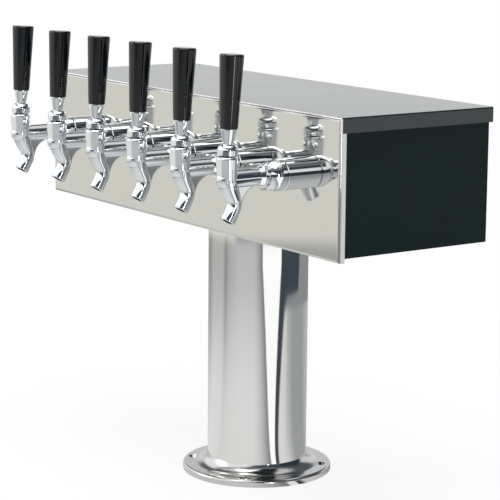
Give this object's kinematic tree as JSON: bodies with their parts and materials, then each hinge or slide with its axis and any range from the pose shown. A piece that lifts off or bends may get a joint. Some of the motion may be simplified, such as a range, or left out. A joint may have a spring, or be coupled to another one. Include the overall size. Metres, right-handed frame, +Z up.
{
  "type": "beer tower dispenser",
  "caption": "Column-mounted drink tower with a wide box housing, a row of lever taps along its front panel and a round bolt-down flange.",
  "frame": {"origin": "centre of the base flange's underside, on the column's axis, at the counter's surface", "axes": "+Z up the column, +X along the row of taps to the right as seen from the taps' side, taps face -Y"},
  "size_m": [0.514, 0.2638, 0.4482],
  "materials": {
    "polished_stainless": "polished",
    "chrome_plate": "polished",
    "black_enamel": "gloss",
    "black_knob": "gloss",
    "plain_steel": "satin",
    "brass_fitting": "satin",
    "rubber": "matte",
    "seat_plastic": "satin",
    "foam": "matte"
  },
  "bodies": {
    "tower": {"base_flange": "polished_stainless", "base_gasket": "rubber", "column_tube": "polished_stainless", "column_insulation": "foam", "column_ring": "plain_steel", "ring_screws": "plain_steel", "housing_shell": "black_enamel", "front_panel": "polished_stainless", "shanks": "chrome_plate", "lock_washers": "plain_steel", "lock_nuts": "plain_steel", "tail_nuts": "brass_fitting", "hose_tails": "plain_steel", "joint_washers": "rubber", "coupling_nuts": "chrome_plate", "lever_seats": "seat_plastic", "bonnets": "chrome_plate", "tap_body_1": "chrome_plate", "tap_body_2": "chrome_plate", "tap_body_3": "chrome_plate", "tap_body_4": "chrome_plate", "tap_body_5": "chrome_plate", "tap_body_6": "chrome_plate"},
    "lid": {"lid": "black_enamel"},
    "lever_1": {"lever_1": "chrome_plate", "ferrule_1": "chrome_plate", "knob_1": "black_knob"},
    "valve_1": {"valve_shaft_1": "plain_steel", "seat_washer_1": "rubber"},
    "lever_2": {"lever_2": "chrome_plate", "ferrule_2": "chrome_plate", "knob_2": "black_knob"},
    "valve_2": {"valve_shaft_2": "plain_steel", "seat_washer_2": "rubber"},
    "lever_3": {"lever_3": "chrome_plate", "ferrule_3": "chrome_plate", "knob_3": "black_knob"},
    "valve_3": {"valve_shaft_3": "plain_steel", "seat_washer_3": "rubber"},
    "lever_4": {"lever_4": "chrome_plate", "ferrule_4": "chrome_plate", "knob_4": "black_knob"},
    "valve_4": {"valve_shaft_4": "plain_steel", "seat_washer_4": "rubber"},
    "lever_5": {"lever_5": "chrome_plate", "ferrule_5": "chrome_plate", "knob_5": "black_knob"},
    "valve_5": {"valve_shaft_5": "plain_steel", "seat_washer_5": "rubber"},
    "lever_6": {"lever_6": "chrome_plate", "ferrule_6": "chrome_plate", "knob_6": "black_knob"},
    "valve_6": {"valve_shaft_6": "plain_steel", "seat_washer_6": "rubber"}
  },
  "joints": [
    {"name": "lid_lift", "type": "slide", "parent": "tower", "child": "lid", "axis": [0, 0, 1], "range_m": [0, 0.06]},
    {"name": "lever_1_tilt", "type": "hinge", "parent": "tower", "child": "lever_1", "pos_m": [-0.1905, -0.1684, 0.3515], "axis": [1, 0, 0], "range_deg": [0, 28]},
    {"name": "valve_1_slide", "type": "slide", "parent": "tower", "child": "valve_1", "axis": [0, 1, 0], "range_m": [0, 0.0069]},
    {"name": "lever_2_tilt", "type": "hinge", "parent": "tower", "child": "lever_2", "pos_m": [-0.1143, -0.1684, 0.3515], "axis": [1, 0, 0], "range_deg": [0, 28]},
    {"name": "valve_2_slide", "type": "slide", "parent": "tower", "child": "valve_2", "axis": [0, 1, 0], "range_m": [0, 0.0069]},
    {"name": "lever_3_tilt", "type": "hinge", "parent": "tower", "child": "lever_3", "pos_m": [-0.0381, -0.1684, 0.3515], "axis": [1, 0, 0], "range_deg": [0, 28]},
    {"name": "valve_3_slide", "type": "slide", "parent": "tower", "child": "valve_3", "axis": [0, 1, 0], "range_m": [0, 0.0069]},
    {"name": "lever_4_tilt", "type": "hinge", "parent": "tower", "child": "lever_4", "pos_m": [0.0381, -0.1684, 0.3515], "axis": [1, 0, 0], "range_deg": [0, 28]},
    {"name": "valve_4_slide", "type": "slide", "parent": "tower", "child": "valve_4", "axis": [0, 1, 0], "range_m": [0, 0.0069]},
    {"name": "lever_5_tilt", "type": "hinge", "parent": "tower", "child": "lever_5", "pos_m": [0.1143, -0.1684, 0.3515], "axis": [1, 0, 0], "range_deg": [0, 28]},
    {"name": "valve_5_slide", "type": "slide", "parent": "tower", "child": "valve_5", "axis": [0, 1, 0], "range_m": [0, 0.0069]},
    {"name": "lever_6_tilt", "type": "hinge", "parent": "tower", "child": "lever_6", "pos_m": [0.1905, -0.1684, 0.3515], "axis": [1, 0, 0], "range_deg": [0, 28]},
    {"name": "valve_6_slide", "type": "slide", "parent": "tower", "child": "valve_6", "axis": [0, 1, 0], "range_m": [0, 0.0069]}
  ],
  "couplings": [
    {"joint": "valve_1_slide", "follows": "lever_1_tilt", "m_per_rad": 0.014087},
    {"joint": "valve_2_slide", "follows": "lever_2_tilt", "m_per_rad": 0.014087},
    {"joint": "valve_3_slide", "follows": "lever_3_tilt", "m_per_rad": 0.014087},
    {"joint": "valve_4_slide", "follows": "lever_4_tilt", "m_per_rad": 0.014087},
    {"joint": "valve_5_slide", "follows": "lever_5_tilt", "m_per_rad": 0.014087},
    {"joint": "valve_6_slide", "follows": "lever_6_tilt", "m_per_rad": 0.014087}
  ]
}
